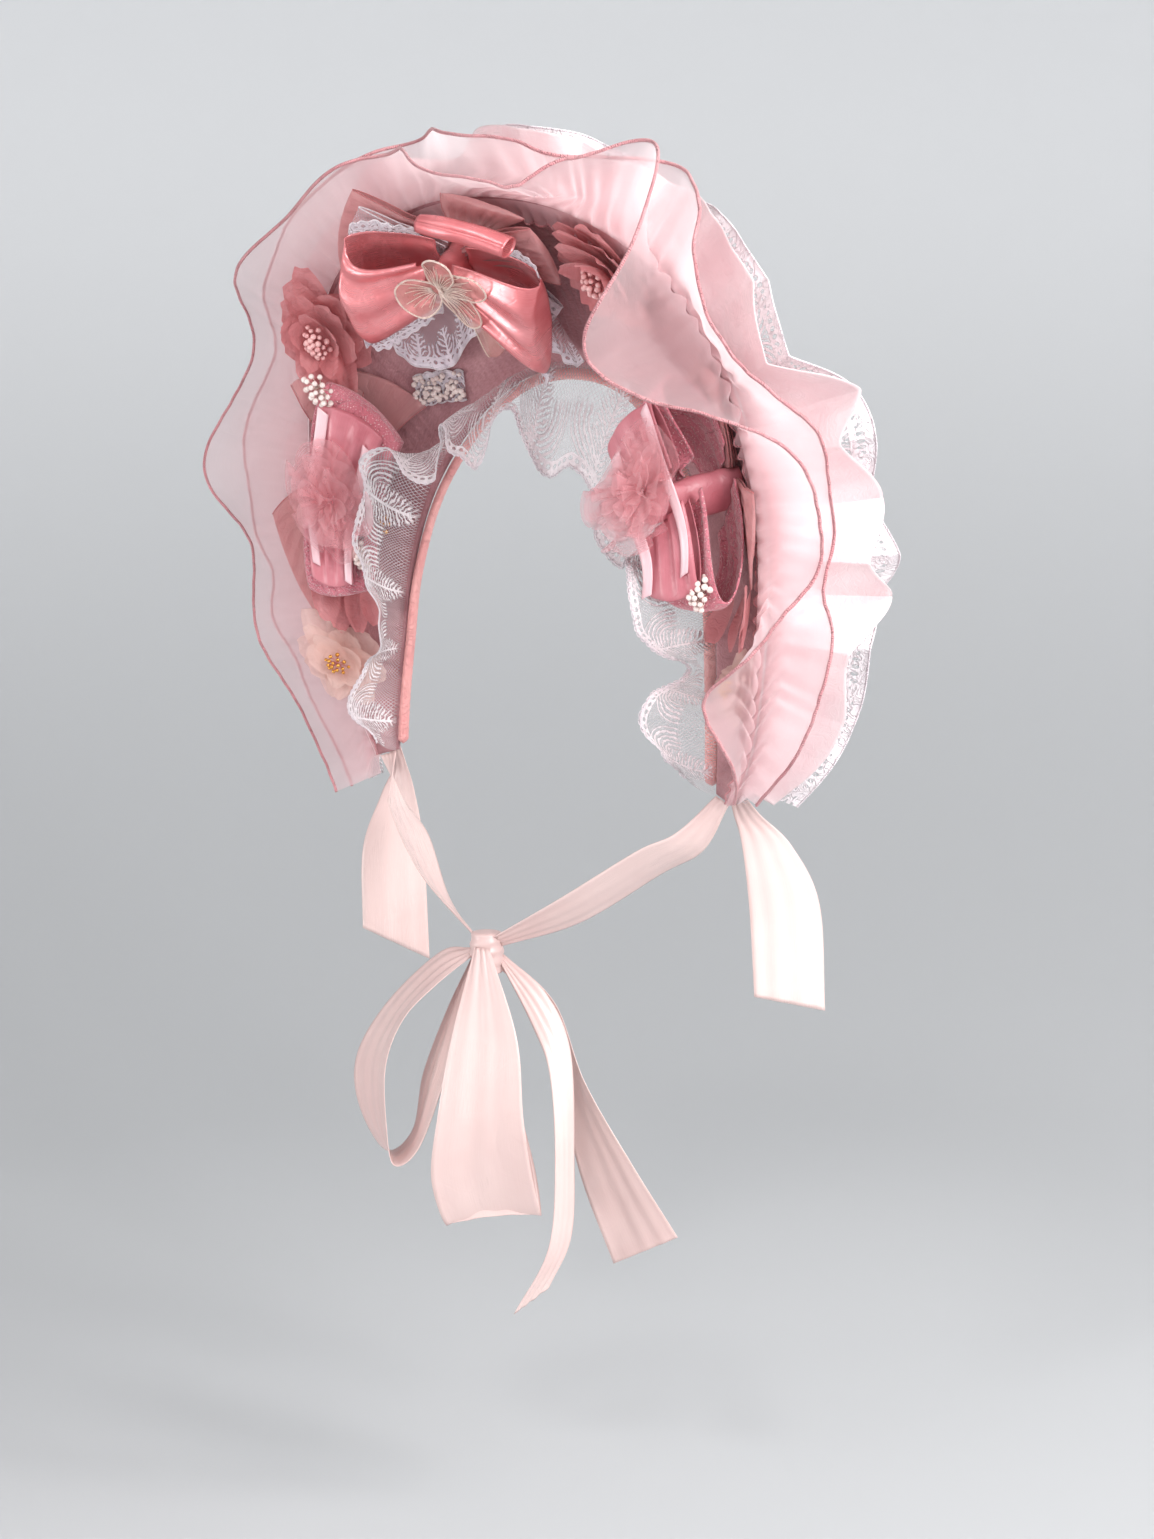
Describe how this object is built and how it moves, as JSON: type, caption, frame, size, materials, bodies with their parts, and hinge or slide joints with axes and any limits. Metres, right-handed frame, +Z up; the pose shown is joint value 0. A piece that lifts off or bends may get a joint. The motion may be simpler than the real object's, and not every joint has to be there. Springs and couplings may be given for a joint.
{
  "type": "frilled brim bonnet with ribbon ties",
  "caption": "Half bonnet: a flared cloth brim round the face with organza and lace ruffles, satin bows, cloth flowers and ribbons tied in a bow under the chin.",
  "frame": {"origin": "middle of the head band's top edge, where the bonnet sits on the head", "axes": "+Z up, -Y the way the face looks, +X the wearer's left"},
  "size_m": [0.4197, 0.1586, 0.613],
  "materials": {
    "brim_cloth": "dusty pink cotton satin, stitched",
    "organza": "sheer pink organza with a corded edge",
    "embroidered_organza": "sheer organza with satin stitched edges",
    "pink_satin": "pink satin ribbon, glossy along the weave",
    "pale_satin": "pale pink satin ribbon",
    "rose_satin": "rose satin, strong sheen",
    "rose_chiffon": "dusty rose chiffon, dull",
    "cream_chiffon": "cream chiffon",
    "glitter_velvet": "dusty pink velvet with fine glitter",
    "tulle": "soft pink tulle",
    "white_lace": "white net lace with worked motifs",
    "stamens": "pearly heads",
    "pearls": "pearly beads",
    "gold_beads": "small gilt beads"
  },
  "bodies": {
    "root": {"back_lace": "white_lace", "beaded_lace": "white_lace", "brim": "brim_cloth", "butterfly": "embroidered_organza", "chiffon_loop_1": "rose_chiffon", "chiffon_loop_2": "rose_chiffon", "chiffon_loop_3": "rose_chiffon", "chin_knot": "pale_satin", "chin_loop_left": "pale_satin", "chin_loop_right": "pale_satin", "chin_tail_broad": "pale_satin", "chin_tail_narrow": "pale_satin", "cream_flower_left": "cream_chiffon", "cream_flower_left_stamens": "stamens", "cream_flower_right": "cream_chiffon", "cream_flower_right_stamens": "stamens", "face_lace": "white_lace", "flower_left": "rose_chiffon", "flower_left_stamens": "stamens", "flower_right": "rose_chiffon", "flower_right_stamens": "stamens", "head_band": "brim_cloth", "header_frill": "organza", "lace_loop_1": "white_lace", "lace_loop_2": "white_lace", "lace_loop_3": "white_lace", "main_knot": "rose_satin", "organza_back": "organza", "organza_front": "organza", "ribbon_ruffle": "pink_satin", "satin_loop_left": "rose_satin", "satin_loop_right": "rose_satin", "sheer_loop": "embroidered_organza", "side_chiffon_1_left": "rose_chiffon", "side_chiffon_1_right": "rose_chiffon", "side_chiffon_2_left": "rose_chiffon", "side_chiffon_2_right": "rose_chiffon", "side_chiffon_3_left": "rose_chiffon", "side_chiffon_3_right": "rose_chiffon", "side_knot_left": "pink_satin", "side_knot_right": "pink_satin", "side_ribbon_inner_left": "pink_satin", "side_ribbon_inner_right": "pink_satin", "side_ribbon_outer_left": "pink_satin", "side_ribbon_outer_right": "pink_satin", "side_satin_lower_left": "pink_satin", "side_satin_lower_right": "pink_satin", "side_satin_upper_left": "pink_satin", "side_satin_upper_right": "pink_satin", "side_velvet_lower_left": "glitter_velvet", "side_velvet_lower_right": "glitter_velvet", "side_velvet_upper_left": "glitter_velvet", "side_velvet_upper_right": "glitter_velvet", "streamer_left": "pale_satin", "streamer_right": "pale_satin", "tie_left": "pale_satin", "tie_right": "pale_satin", "tulle_puff_left": "tulle", "tulle_puff_right": "tulle"}
  },
  "joints": []
}
